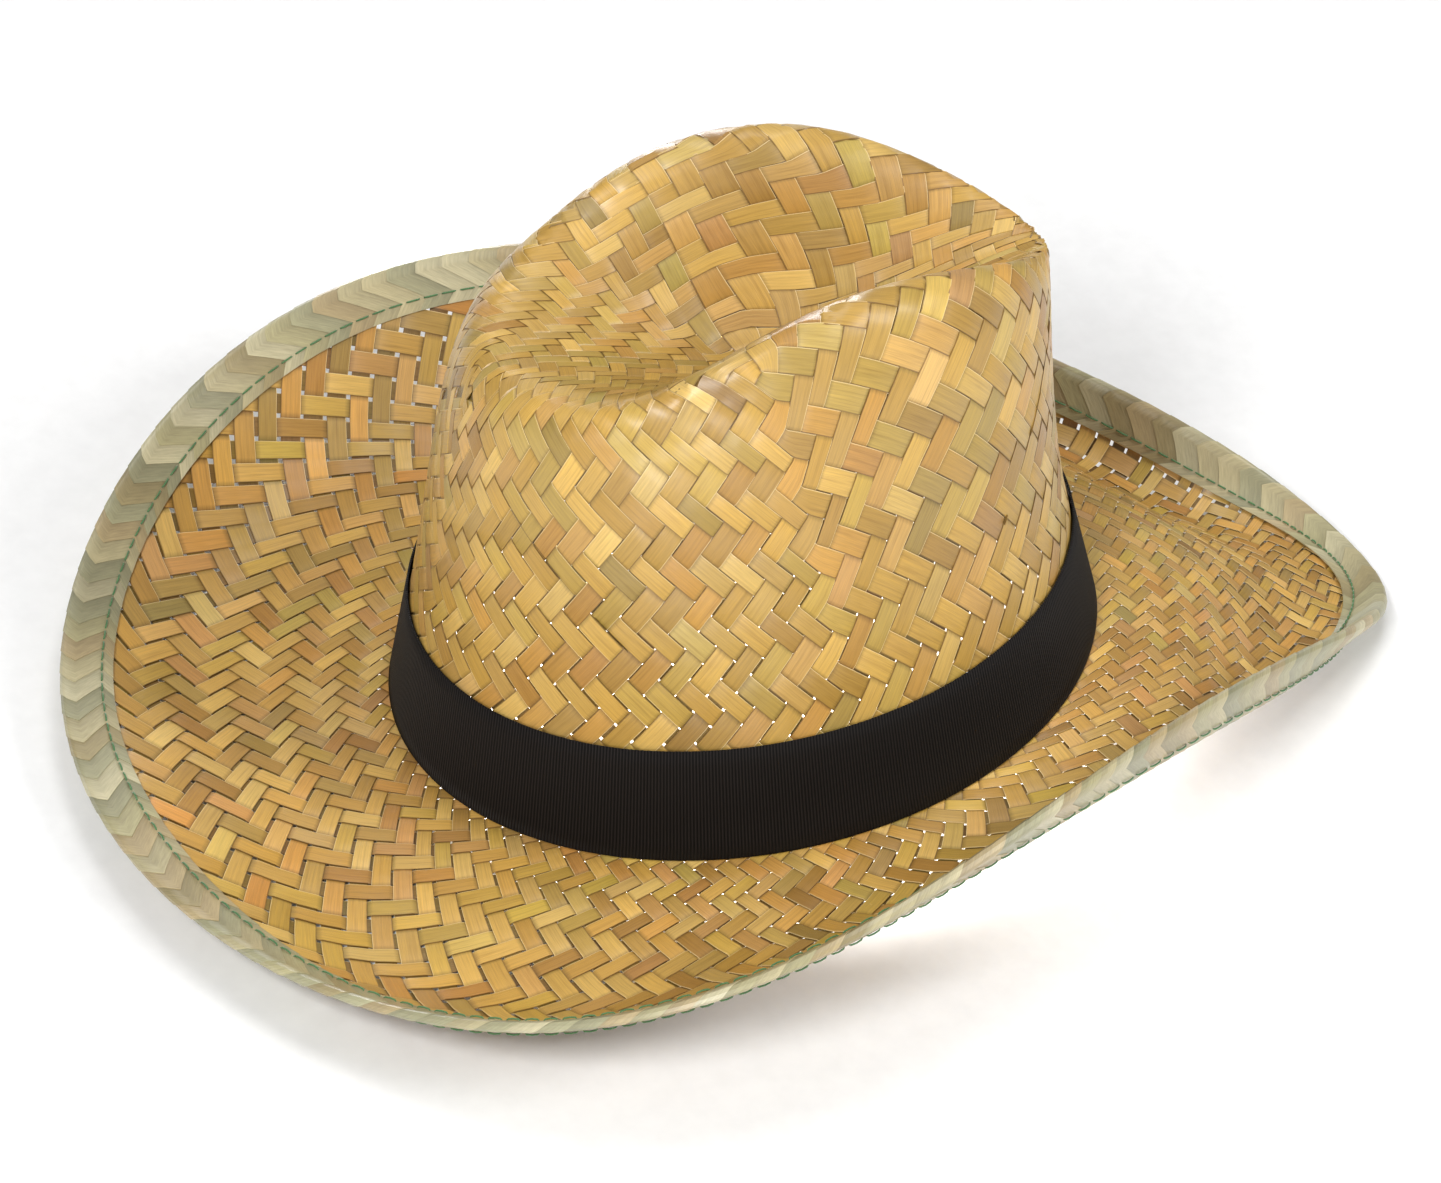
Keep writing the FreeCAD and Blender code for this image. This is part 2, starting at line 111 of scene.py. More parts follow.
def bezier(corners, share):
    rest = 1 - share[:, None]
    share = share[:, None]
    a, b, c, d = (corner[:, None, :] for corner in corners)
    return a * rest**3 + b * (3 * rest**2 * share) + c * (3 * rest * share**2) + d * share**3


def brimRows(angle, count):
    root = headPoint(angle, -hatShape["rootOut"])
    reach = np.stack([around("reachSide", angle, np.sin), around("reachAlong", angle),
                      0 * angle], -1)
    edge = headPoint(angle) + reach
    edge[:, 2] += around("rise", angle)
    ways = []
    for row in ("rootSlope", "edgeSlope"):
        slope = np.radians(around(row, angle))[:, None]
        ways.append(unit(reach) * np.cos(slope) + np.array([0, 0, 1]) * np.sin(slope))
    far = np.linalg.norm(reach, axis=1)[:, None]
    straight = np.linalg.norm(edge - root, axis=1)[:, None]
    nearRoot = root + ways[0] * hatShape["rootHold"] * far
    nearEdge = edge - ways[1] * hatShape["edgeHold"] * straight
    line = bezier([root, nearRoot, nearEdge, edge], np.linspace(0, 1, count))
    # A short start under the crown wall hides the strips' ends.
    lead = [headPoint(angle, inset)[:, None] for inset in hatShape["leadInsets"]]
    return np.concatenate(lead + [line], 1)


def crownRows(angle):
    base = headPoint(angle)
    wallTop = headPoint(angle, hatShape["bandLean"], hatShape["bandHeight"])
    inset = np.stack([around("insetSide", angle, np.sin), around("insetAlong", angle),
                      0 * angle], -1)
    ridge = base + inset
    ridge[:, 2] += around("crownRise", angle)
    run = flat(ridge - wallTop)
    pull = np.exp(-((np.abs(np.sin(angle)) - 1) / hatShape["pinchSpread"])**2)[:, None]
    pinch = unit(run) * hatShape["sidePinch"] * pull
    height = np.linalg.norm(ridge - wallTop, axis=1)[:, None]
    aboveBand = wallTop + unit(wallTop - base) * hatShape["sideHold"] * height + pinch
    belowRidge = ridge - run * hatShape["shoulderHold"] + pinch
    floor = np.zeros_like(ridge) + np.array([0, hatShape["dentAlong"], hatShape["dentFloor"]])
    dip = flat(floor - ridge)
    nearFloor = floor - dip * around("dentFloorHold", angle)[:, None]
    nearRidge = ridge + dip * around("dentWallHold", angle)[:, None]
    dent = bezier([floor, nearFloor, nearRidge, ridge], np.linspace(0, 1, fineness["dent"]))
    down = np.linspace(1, 0, fineness["wall"])
    wall = bezier([wallTop, aboveBand, belowRidge, ridge], down)
    low = np.linspace(0, 1, fineness["foot"])[None, :, None]
    foot = wallTop[:, None, :] + (base - wallTop)[:, None, :] * low
    return np.concatenate([dent, wall[:, 1:], foot[:, 1:]], 1)


# A skin is a closed round of lines, each resampled evenly from its start to its end.
columns = fineness["columns"]
roundAngles = np.arange(columns) * 2 * math.pi / columns


def makeSkin(rows, count):
    steps = np.linalg.norm(np.diff(rows, axis=1), axis=2)
    run = np.concatenate([np.zeros((len(rows), 1)), np.cumsum(steps, 1)], 1)
    points = np.zeros((len(rows), count, 3))
    for column in range(len(rows)):
        wanted = np.linspace(0, run[column, -1], count)
        for axis in range(3):
            points[column, :, axis] = np.interp(wanted, run[column], rows[column, :, axis])
    outward = np.gradient(points, axis=1)
    sideways = np.roll(points, -1, 0) - np.roll(points, 1, 0)
    normals = unit(np.cross(outward, sideways))
    flatStart = np.linalg.norm(sideways[:, 0], axis=1) < 0.001
    normals[flatStart, 0] = [0, 0, 1]
    return {"points": points, "normals": normals, "length": run[:, -1]}


def lookUp(table, angle, share):
    column = (angle % (2 * math.pi)) / (2 * math.pi) * columns
    low = np.floor(column).astype(int)
    mix = (column - low)[..., None]
    row = np.clip(share, 0, 1) * (table.shape[1] - 1)
    under = np.minimum(np.floor(row).astype(int), table.shape[1] - 2)
    part = (row - under)[..., None]
    here, there = low % columns, (low + 1) % columns
    first = table[here, under] * (1 - part) + table[here, under + 1] * part
    second = table[there, under] * (1 - part) + table[there, under + 1] * part
    return first * (1 - mix) + second * mix


def skinLength(skin, angle):
    turn = (angle % (2 * math.pi)) / (2 * math.pi) * columns
    return np.interp(turn, np.arange(columns + 1), np.append(skin["length"], skin["length"][0]))


def onSkin(skin, angle, reach):
    share = reach / skinLength(skin, angle)
    return lookUp(skin["points"], angle, share), unit(lookUp(skin["normals"], angle, share))


crownSkin = makeSkin(crownRows(roundAngles), fineness["crownSkin"])
brimSkin = makeSkin(brimRows(roundAngles, fineness["brim"]), fineness["brimSkin"])

fineAngles = np.linspace(0, 2 * math.pi, 1441)
ovalSteps = np.linalg.norm(np.diff(headPoint(fineAngles), axis=0), axis=1)
ovalRun = np.concatenate([[0], np.cumsum(ovalSteps)])


def ovalAngle(share):
    # The angle at a share of the way round the head oval, measured along it.
    whole = np.floor(share)
    return 2 * math.pi * whole + np.interp((share - whole) * ovalRun[-1], ovalRun, fineAngles)


print("skins ready")


def newPiece(name, points, faces, material):
    mesh = bpy.data.meshes.new(name)
    mesh.from_pydata(toRest(points).tolist(), [], faces)
    mesh.polygons.foreach_set("use_smooth", [True] * len(mesh.polygons))
    mesh.materials.append(material)
    piece = bpy.data.objects.new(name, mesh)
    bpy.context.scene.collection.objects.link(piece)
    return piece


def giveUv(piece, spots):
    mesh = piece.data
    corner = np.zeros(len(mesh.loops), dtype=np.int32)
    mesh.loops.foreach_get("vertex_index", corner)
    layer = mesh.uv_layers.new(name="UVMap")
    layer.data.foreach_set("uv", np.asarray(spots, dtype=np.float32)[corner].ravel())


# The tint holds each point's own colour with painted shade multiplied in: strip parts that run
# under a crossing strip and braid leaves toward their lapped ends are darker.
def giveTintAndShade(piece, colours):
    layer = piece.data.color_attributes.new("tintAndShade", "FLOAT_COLOR", "POINT")
    full = np.concatenate([colours, np.ones((len(colours), 1))], 1)
    layer.data.foreach_set("color", full.astype(np.float32).ravel())


def runAlong(line):
    # How far along a line each of its points lies.
    return np.concatenate([[0], np.cumsum(np.linalg.norm(np.diff(line, axis=0), axis=1))])


def slabs(name, grids, material, thick, closed=False):
    # Each grid is rows of points with normals, made into a thin closed slab.
    points, faces, spots, base = [], [], [], 0
    for number, (spot, normal) in enumerate(grids):
        rows, across = spot.shape[:2]
        upper = spot + normal * (thick / 2)
        lower = spot - normal * (thick / 2)
        points.append(upper.reshape(-1, 3))
        points.append(lower.reshape(-1, 3))
        run, width = runAlong(spot[:, 0]), runAlong(spot[0])
        for side in range(2):
            for row in range(rows):
                for step in range(across):
                    spots.append((run[row] / 10, width[step] / 10 + 5 * number))
        size = rows * across
        last = rows if closed else rows - 1
        for row in range(last):
            after = (row + 1) % rows
            for step in range(across - 1):
                a, b = base + row * across + step, base + row * across + step + 1
                c, d = base + after * across + step + 1, base + after * across + step
                faces.append((a, b, c, d))
                faces.append((a + size, d + size, c + size, b + size))
            a, d = base + row * across, base + after * across
            faces.append((a, d, d + size, a + size))
            b, c = a + across - 1, d + across - 1
            faces.append((b, b + size, c + size, c))
        if not closed:
            for step in range(across - 1):
                a, b = base + step, base + step + 1
                faces.append((a, a + size, b + size, b))
                c = base + (rows - 1) * across + step
                faces.append((c, c + 1, c + 1 + size, c + size))
        base += 2 * size
    piece = newPiece(name, np.concatenate(points), faces, material)
    giveUv(piece, spots)
    return piece


sharpTurn = 35.0


def pickOnly(piece):
    bpy.ops.object.select_all(action="DESELECT")
    bpy.context.view_layer.objects.active = piece
    piece.select_set(True)


def crispEdges(piece):
    pickOnly(piece)
    bpy.ops.object.shade_smooth_by_angle(angle=math.radians(sharpTurn))
    piece.select_set(False)


def faceOutward(piece):
    pickOnly(piece)
    bpy.ops.object.mode_set(mode="EDIT")
    bpy.ops.mesh.select_all(action="SELECT")
    bpy.ops.mesh.normals_make_consistent(inside=False)
    bpy.ops.object.mode_set(mode="OBJECT")
    piece.select_set(False)


def newMaterial(name):
    material = bpy.data.materials.new(name)
    material.use_nodes = True
    nodes = material.node_tree.nodes
    return material, nodes, material.node_tree.links, nodes["Principled BSDF"]


def mathNode(nodes, links, kind, first, second=None, third=None):
    node = nodes.new("ShaderNodeMath")
    node.operation = kind
    for index, value in enumerate((first, second, third)):
        if value is None:
            continue
        if isinstance(value, (int, float)):
            node.inputs[index].default_value = value
        else:
            links.new(value, node.inputs[index])
    return node.outputs[0]


def stretchedNoise(nodes, links, coordinate, stretch, detail=4.0, roughness=0.6):
    mapping = nodes.new("ShaderNodeMapping")
    mapping.inputs["Scale"].default_value = stretch
    links.new(coordinate, mapping.inputs["Vector"])
    noise = nodes.new("ShaderNodeTexNoise")
    noise.inputs["Scale"].default_value = 1.0
    noise.inputs["Detail"].default_value = detail
    noise.inputs["Roughness"].default_value = roughness
    links.new(mapping.outputs["Vector"], noise.inputs["Vector"])
    return noise.outputs["Fac"]


def ramp(nodes, links, value, stops):
    node = nodes.new("ShaderNodeValToRGB")
    node.color_ramp.elements[0].position = stops[0][0]
    node.color_ramp.elements[0].color = (*stops[0][1], 1)
    node.color_ramp.elements[1].position = stops[-1][0]
    node.color_ramp.elements[1].color = (*stops[-1][1], 1)
    for place, colour in stops[1:-1]:
        node.color_ramp.elements.new(place).color = (*colour, 1)
    links.new(value, node.inputs["Fac"])
    return node.outputs["Color"]


# The colour sockets of a mix node that is set to mix colours.
mixFirst, mixSecond, mixResult = 6, 7, 2


def multiply(nodes, links, first, second):
    node = nodes.new("ShaderNodeMix")
    node.data_type = "RGBA"
    node.blend_type = "MULTIPLY"
    node.inputs["Factor"].default_value = 1.0
    links.new(first, node.inputs[mixFirst])
    links.new(second, node.inputs[mixSecond])
    return node.outputs[mixResult]


def paintWhere(nodes, links, colour, mask, paint, amount):
    node = nodes.new("ShaderNodeMix")
    node.data_type = "RGBA"
    node.inputs[mixSecond].default_value = (*paint, 1)
    links.new(colour, node.inputs[mixFirst])
    links.new(mathNode(nodes, links, "MULTIPLY", mask, amount), node.inputs["Factor"])
    return node.outputs[mixResult]


def bump(nodes, links, height, distance, strength, target):
    node = nodes.new("ShaderNodeBump")
    node.inputs["Distance"].default_value = distance
    node.inputs["Strength"].default_value = strength
    links.new(height, node.inputs["Height"])
    links.new(node.outputs["Normal"], target)


def uvOf(nodes):
    node = nodes.new("ShaderNodeUVMap")
    node.uv_map = "UVMap"
    return node.outputs["UV"]


def placeOf(nodes):
    return nodes.new("ShaderNodeTexCoord").outputs["Object"]


def tintAndShadeOf(nodes):
    node = nodes.new("ShaderNodeAttribute")
    node.attribute_name = "tintAndShade"
    return node.outputs["Color"]


def grainMaterial(name, values):
    # One fine noise gives both the colour and the relief.
    material, nodes, links, shader = newMaterial(name)
    grain = stretchedNoise(nodes, links, placeOf(nodes), (values["scale"],) * 3, 3.0, 0.6)
    stops = [(values["low"], values["dark"]), (values["high"], values["light"])]
    links.new(ramp(nodes, links, grain, stops), shader.inputs["Base Color"])
    shader.inputs["Roughness"].default_value = values["roughness"]
    shader.inputs["Sheen Weight"].default_value = values["sheen"]
    if values["depth"]:
        bump(nodes, links, grain, values["depth"], 0.6, shader.inputs["Normal"])
    return material


strawFinishAndPaintedLight = {
    "streak": 0.24, "crownGloss": 0.28, "brimGloss": 0.31, "glossSpread": 0.25,
    "fineGrain": (1.1, 38.0, 1.0), "broadGrain": (0.5, 9.0, 1.0),
    # Painted shade: a dark line along one edge of every strip, where the gap to the next strip
    # lies.
    "gapShadeBelow": 0.055, "gapShadeColour": (0.12, 0.06, 0.02), "gapShadeAmount": 0.6,
    # Painted highlight: a pale line along the other edge of every strip.
    "rimHighlightAbove": 0.955, "rimHighlightColour": (0.86, 0.68, 0.36), "rimHighlightAmount": 0.55,
    "specular": 0.45, "coat": 0.28, "coatRoughness": 0.27, "depth": 0.00012, "relief": 0.55,
}


def strawMaterial(name, gloss):
    # Dried palm leaf: streaks along each strip, painted shade along one edge, a painted highlight
    # along the other edge and a thin varnish.
    values = strawFinishAndPaintedLight
    material, nodes, links, shader = newMaterial(name)
    uv = uvOf(nodes)
    parts = nodes.new("ShaderNodeSeparateXYZ")
    links.new(uv, parts.inputs[0])
    across = mathNode(nodes, links, "FRACT", parts.outputs["Y"])
    fine = stretchedNoise(nodes, links, uv, values["fineGrain"], 6.0, 0.7)
    broad = stretchedNoise(nodes, links, uv, values["broadGrain"], 3.0, 0.5)
    streak = values["streak"]
    fineShade = ramp(nodes, links, fine, [(0.25, (1 - streak,) * 3), (0.5, (1.0, 1.0, 1.0)),
                                          (0.78, (1 + streak, 1 + streak, 1 + 0.8 * streak))])
    broadShade = ramp(nodes, links, broad, [(0.25, (0.80, 0.76, 0.72)), (0.5, (1.0, 1.0, 1.0)),
                                            (0.75, (1.12, 1.10, 1.0))])
    colour = multiply(nodes, links, tintAndShadeOf(nodes), fineShade)
    colour = multiply(nodes, links, colour, broadShade)
    # Painted shade: a dark line along the edge of each strip next to the gap.
    gap = mathNode(nodes, links, "LESS_THAN", across, values["gapShadeBelow"])
    colour = paintWhere(nodes, links, colour, gap, values["gapShadeColour"], values["gapShadeAmount"])
    # Painted highlight: a pale line along the other edge of each strip.
    rimHighlight = mathNode(nodes, links, "GREATER_THAN", across, values["rimHighlightAbove"])
    colour = paintWhere(nodes, links, colour, rimHighlight, values["rimHighlightColour"], values["rimHighlightAmount"])
    links.new(colour, shader.inputs["Base Color"])
    rough = mathNode(nodes, links, "MULTIPLY_ADD", broad, values["glossSpread"], gloss)
    links.new(rough, shader.inputs["Roughness"])
    shader.inputs["Specular IOR Level"].default_value = values["specular"]
    shader.inputs["Coat Weight"].default_value = values["coat"]
    shader.inputs["Coat Roughness"].default_value = values["coatRoughness"]
    bump(nodes, links, fine, values["depth"], values["relief"], shader.inputs["Normal"])
    return material


print("tools ready")


strawLook = {
    "crown": [(0.47, 0.285, 0.060), (0.53, 0.340, 0.090), (0.40, 0.235, 0.048),
              (0.41, 0.295, 0.065), (0.44, 0.215, 0.052), (0.31, 0.180, 0.055),
              (0.47, 0.265, 0.095), (0.35, 0.270, 0.075), (0.57, 0.395, 0.130)],
    "brim": [(0.53, 0.310, 0.070), (0.60, 0.380, 0.098), (0.41, 0.220, 0.044),
             (0.48, 0.325, 0.056), (0.51, 0.240, 0.054), (0.31, 0.162, 0.042),
             (0.52, 0.290, 0.104), (0.35, 0.255, 0.074), (0.62, 0.430, 0.140)],
    "chances": [0.28, 0.16, 0.16, 0.11, 0.07, 0.07, 0.06, 0.05, 0.04],
    # Painted shade: the first value on the next line darkens the parts of a strip that run under a
    # crossing strip.
    "paintedUnderShade": 0.42, "stripThickness": 0.36, "wave": 0.31, "swell": 0.05, "floatEnd": 0.34,
    "edgeThin": 0.6, "shadeSpread": 0.10, "ownShare": 0.5,
}
# Where the six corners of a strip's cut lie across its texture.
ringAcross = (0.02, 0.5, 0.98, 0.98, 0.5, 0.02)


def layStrips(name, strips, material, family):
    # Each strip gives its left, middle and right lines, normals, lifts and float numbers.
    look = strawLook
    points, faces, spots, tintsAndShade, base = [], [], [], [], 0
    palette = np.array(look[family])
    half = look["stripThickness"] / 2
    for number, (left, middle, right, normal, lift, floats) in enumerate(strips):
        count = len(middle)
        run = runAlong(middle)
        twist = np.sum(np.cross(np.gradient(middle, axis=0), right - left) * normal)
        if twist > 0:
            left, right = right, left
        rise = normal * (lift * look["wave"] - hatShape["weaveThickness"] / 2)[:, None]
        swell = normal * look["swell"]
        thin = normal * (half * look["edgeThin"])
        ring = [left + rise + thin, middle + rise + swell + normal * half, right + rise + thin,
                right + rise - thin, middle + rise + swell - normal * half, left + rise - thin]
        points.append(np.stack(ring, 1).reshape(-1, 3))
        own = palette[chance.choice(len(palette), p=look["chances"])]
        picks = palette[chance.choice(len(palette), size=floats.max() + 1, p=look["chances"])]
        shade = chance.normal(1.0, look["shadeSpread"], floats.max() + 1)[:, None]
        mixed = (own * look["ownShare"] + picks * (1 - look["ownShare"])) * shade
        # Painted shade: where a strip runs under a crossing strip its colour is darkened, so the
        # float ends look shaded where they dive under a neighbour.
        toneAndUnderShade = mixed[floats] * np.where(lift > 0, 1.0, look["paintedUnderShade"])[:, None]
        tintsAndShade.append(np.repeat(toneAndUnderShade, 6, 0))
        start = chance.uniform(0, 40)
        for step in range(count):
            for across in ringAcross:
                spots.append((start + run[step] / 10, number + across))
        for step in range(count - 1):
            here = base + 6 * step
            for corner in range(6):
                after = (corner + 1) % 6
                faces.append((here + corner, here + after, here + 6 + after, here + 6 + corner))
        end = base + 6 * (count - 1)
        faces.append((base, base + 5, base + 4, base + 1))
        faces.append((base + 1, base + 4, base + 3, base + 2))
        faces.append((end, end + 1, end + 4, end + 5))
        faces.append((end + 1, end + 2, end + 3, end + 4))
        base += 6 * count
    piece = newPiece(name, np.concatenate(points), faces, material)
    giveUv(piece, spots)
    giveTintAndShade(piece, np.clip(np.concatenate(tintsAndShade), 0, 1))
    crispEdges(piece)
    return piece


# The crown starts as a square mat in the dent, laid cornerwise. Its four corners bend over
# the ridge, and from its sides the strips run down the wall at a slant.
crownWeave = {
    "halfStrips": 16, "levels": 31, "cornerPast": 7.0, "frontReach": 93.0, "backReach": 84.0,
    "closeWidth": 0.985, "openWidth": 0.85, "widthSpread": 0.05, "phase": 1, "footGap": 0.6,
    "openPower": 1.7, "wobble": 0.006, "driftPower": 1.5, "wallShares": (0.93, 0.07),
}


def matSpot(p, q):
    # A place on the mat as an angle and a distance from the middle of the dent.
    weave = crownWeave
    n = weave["halfStrips"]
    x = p * (sideDent + weave["cornerPast"]) / n
    y = q * np.where(q < 0, weave["frontReach"], weave["backReach"]) / n
    return np.arctan2(x, -y) % (2 * math.pi), np.hypot(x, y)


def matEdge(h):
    # The place on the mat's outline at h steps round it, from the front corner toward +X.
    n = crownWeave["halfStrips"]
    h = h % (8 * n)
    side = np.floor(h / (2 * n))
    p = np.select([side == 0, side == 1, side == 2], [h / 2, (4 * n - h) / 2, (4 * n - h) / 2],
                  -(8 * n - h) / 2)
    q = (n - np.abs(p)) * np.where((side == 0) | (side == 3), -1, 1)
    return matSpot(p, q)


def crownSpot(mine, other, ownAlong):
    # The strip keeps its own value, and runs along the hat if ownAlong is set.
    n = crownWeave["halfStrips"]
    past = np.maximum(np.abs(mine) + np.abs(other) - n, 0)
    held = np.sign(other) * np.minimum(np.abs(other), n - np.abs(mine))
    p, q = (mine, held) if ownAlong else (held, mine)
    topAngle, topReach = matSpot(p, q)
    right, front = p >= 0, q < 0
    start = np.where(right, np.where(front, 2 * np.abs(p), 4 * n - 2 * np.abs(p)),
                     np.where(front, 8 * n - 2 * np.abs(p), 4 * n + 2 * np.abs(p)))
    turn = np.where(right == front, 1, -1) * (-1 if ownAlong else 1)
    h = start + turn * past
    t = past / crownWeave["levels"]
    footAngle = ovalAngle(h / (8 * n))
    edgeAngle, edgeReach = matEdge(h)
    drift = (edgeAngle - footAngle + math.pi) % (2 * math.pi) - math.pi
    angle = footAngle + drift * np.clip(1 - t, 0, 1)**crownWeave["driftPower"]
    end = skinLength(crownSkin, angle) - crownWeave["footGap"]
    even, late = crownWeave["wallShares"]
    reach = edgeReach + (end - edgeReach) * t * (even + late * t)
    inside = past <= 0
    return np.where(inside, topAngle, angle), np.where(inside, topReach, reach), turn


sideLine = crownRows(np.array([math.pi / 2]))[0, :fineness["dent"]]
sideDent = np.linalg.norm(np.diff(sideLine, axis=0), axis=1).sum()


def crownStrips(ownAlong):
    weave = crownWeave
    n = weave["halfStrips"]
    strips = []
    for index in range(-n, n):
        c = index + 0.5
        reach = n - abs(c) + weave["levels"]
        crossings = np.arange(-reach, reach + 0.5)
        end = strawLook["floatEnd"]
        other = np.sort(np.concatenate([crossings - end, crossings + end]))[1:-1]
        level = np.rint(np.abs(c) + np.abs(np.repeat(crossings, 2)[1:-1]) - n).astype(int)
        size = np.abs(c) + np.abs(other) - n
        low = np.clip(size / weave["levels"], 0, 1)**weave["openPower"]
        width = weave["closeWidth"] + (weave["openWidth"] - weave["closeWidth"]) * low
        width = (width + chance.normal(0, weave["widthSpread"])) / 2
        wander = np.sin(other * chance.uniform(0.6, 1.1) + chance.uniform(0, 6))
        width = width + weave["wobble"] * wander
        found = []
        for offset in (-width, 0 * width, width):
            found.append(crownSpot(c + offset, other, ownAlong))
        angle, far, turn = found[1]
        middle, normal = onSkin(crownSkin, angle, far)
        left = onSkin(crownSkin, found[0][0], found[0][1])[0]
        right = onSkin(crownSkin, found[2][0], found[2][1])[0]
        upKind = turn < 0
        over = np.isin((level + weave["phase"]) % 4, [0, 1]) == upKind
        lift = np.where(over, 1.0, -1.0)
        floats = np.concatenate([[0], np.cumsum(np.diff(lift) != 0)])
        strips.append((left, middle, right, normal, lift, floats))
    return strips


crownStraw = strawMaterial("crownStraw", strawFinishAndPaintedLight["crownGloss"])
for name, ownAlong in (("crownStripsAlong", True), ("crownStripsAcross", False)):
    piece = layStrips(name, crownStrips(ownAlong), crownStraw, "crown")
    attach(piece, "root")
    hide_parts("crown")
print("crown woven")

brimWeave = {"strips": 100, "closeWidth": 0.92, "openWidth": 0.815, "widthSpread": 0.04,
             "phase": 0, "edgeGap": 0.3, "crossings": 48, "widthRun": 24, "fewestPoints": 4,
             "tableTop": 60, "tableStep": 0.25, "pastEdge": 0.05}


def brimLevels():
    # For each column, the distance out at each level of crossings.
    n = brimWeave["strips"]
    points = brimSkin["points"]
    per = np.interp(roundAngles, fineAngles, np.gradient(fineAngles) / np.gradient(ovalRun))
    perStep = per * ovalRun[-1] / (2 * n)
    sideways = (np.roll(points, -1, 0) - np.roll(points, 1, 0)) / (4 * math.pi / columns)
    cell = np.linalg.norm(sideways, axis=2) * perStep[:, None]
    step = (brimSkin["length"] / (points.shape[1] - 1))[:, None]
    steps = np.cumsum(step / ((cell[:, 1:] + cell[:, :-1]) / 2), 1)
    rise = np.concatenate([np.zeros((columns, 1)), steps], 1)
    wanted = np.arange(0, brimWeave["tableTop"], brimWeave["tableStep"])
    table = np.zeros((columns, len(wanted)))
    for column in range(columns):
        share = np.interp(wanted, rise[column], np.linspace(0, 1, points.shape[1]))
        beyond = wanted > rise[column, -1]
        share[beyond] = 1 + (wanted[beyond] - rise[column, -1]) * brimWeave["pastEdge"]
        table[column] = share
    return table[..., None], wanted[-1]


brimTable, brimTop = brimLevels()


def brimSpot(h, level):
    angle = ovalAngle(h / (2 * brimWeave["strips"]))
    share = lookUp(brimTable, angle, level / brimTop)[..., 0]
    return angle, share


def brimStrips(leansBack):
    weave = brimWeave
    n = weave["strips"]
    way = -1 if leansBack else 1
    strips = []
    end = strawLook["floatEnd"]
    for index in range(n):
        start = 2 * index + 1
        crossings = np.arange(0, weave["crossings"])
        x = np.sort(np.concatenate([crossings - end, crossings + end]))[1:]
        level = np.repeat(crossings, 2)[1:]
        change = weave["openWidth"] - weave["closeWidth"]
        width = weave["closeWidth"] + change * x / weave["widthRun"]
        width = width + chance.normal(0, weave["widthSpread"])
        found = []
        for offset in (-width, 0 * width, width):
            own = start + offset
            # The strip's own diagonal stays fixed while the other one runs on.
            other = start + way * 2 * x
            h, rise = (own + other) / 2, way * (other - own) / 2
            found.append(brimSpot(h, np.maximum(rise, 0)))
        limit = 1 - weave["edgeGap"] / skinLength(brimSkin, found[1][0])
        past = (found[0][1] > limit) | (found[1][1] > limit) | (found[2][1] > limit)
        stop = int(np.argmax(past)) if past.any() else len(x)
        if stop < weave["fewestPoints"]:
            continue
        cut = slice(0, stop)
        parts = []
        for angle, share in found:
            reach = share[cut] * skinLength(brimSkin, angle[cut])
            parts.append(onSkin(brimSkin, angle[cut], reach))
        over = np.isin((level[cut] + weave["phase"]) % 4, [0, 1]) == (way < 0)
        lift = np.where(over, 1.0, -1.0)
        floats = np.concatenate([[0], np.cumsum(np.diff(lift) != 0)])
        strips.append((parts[0][0], parts[1][0], parts[2][0], parts[1][1], lift, floats))
    return strips


brimStraw = strawMaterial("brimStraw", strawFinishAndPaintedLight["brimGloss"])
for name, leansBack in (("brimStripsBack", True), ("brimStripsForward", False)):
    piece = layStrips(name, brimStrips(leansBack), brimStraw, "brim")
    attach(piece, "root")
    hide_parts("brim")
print("brim woven")


braidSizes = {"width": 12.5, "leafMiddle": 1.38, "foldRoom": 0.95, "noseRadius": 1.42,
              "pitch": 8.2, "overlap": 1.6, "raise": 0.24, "thickness": 0.3, "slant": 1.1,
              "jitter": 0.35, "steps": 4, "lowStep": 0.6, "foldRow": 8}
# How far in from the edge each line across the braid lies, and how far along its leaves
# have slanted there: they turn back under the stitches, over the edge and underneath.
braidLines = {
    "insets": [12.5, 10.8, 9.0, 6.4, 3.9, 1.3], "upperShift": [3.5, 1.8, 0.0, 2.6, 5.1, 7.7],
    "noseTurns": [75, 40, 0, -40, -75], "noseShift": [6.6, 5.3, 3.9, 2.4, 1.1],
    "lowerShift": [0.0, 2.6, 5.1, 7.7, 5.9, 4.2],
}


def edgeSection():
    # Points and normals of the braid from the upper inner border round to the lower one.
    out = unit(brimSkin["points"][:, -1] - brimSkin["points"][:, -2])
    points, normals, reach = [], [], []
    sizes = braidSizes
    insets = braidLines["insets"]
    for side in (1, -1):
        for inset in (insets if side > 0 else insets[::-1]):
            spot, normal = onSkin(brimSkin, roundAngles, brimSkin["length"] - inset)
            middle = spot - normal * hatShape["weaveThickness"] / 2
            points.append(middle + normal * (side * sizes["leafMiddle"]))
            normals.append(normal * side)
            reach.append(-side * inset)
        if side > 0:
            spot, normal = onSkin(brimSkin, roundAngles, brimSkin["length"])
            fold = spot - normal * hatShape["weaveThickness"] / 2 + out * sizes["foldRoom"]
            for turn in np.radians(braidLines["noseTurns"]):
                way = normal * math.sin(turn) + out * math.cos(turn)
                points.append(fold + way * sizes["noseRadius"])
                normals.append(way)
                reach.append(0.0)
    return np.stack(points, 1), np.stack(normals, 1), np.array(reach)


braidPoints, braidNormals, braidReach = edgeSection()
foldLine = braidPoints[:, braidSizes["foldRow"]]
edgeSteps = np.linalg.norm(np.roll(foldLine, -1, 0) - foldLine, axis=1)
edgeRun = np.concatenate([[0], np.cumsum(edgeSteps)])


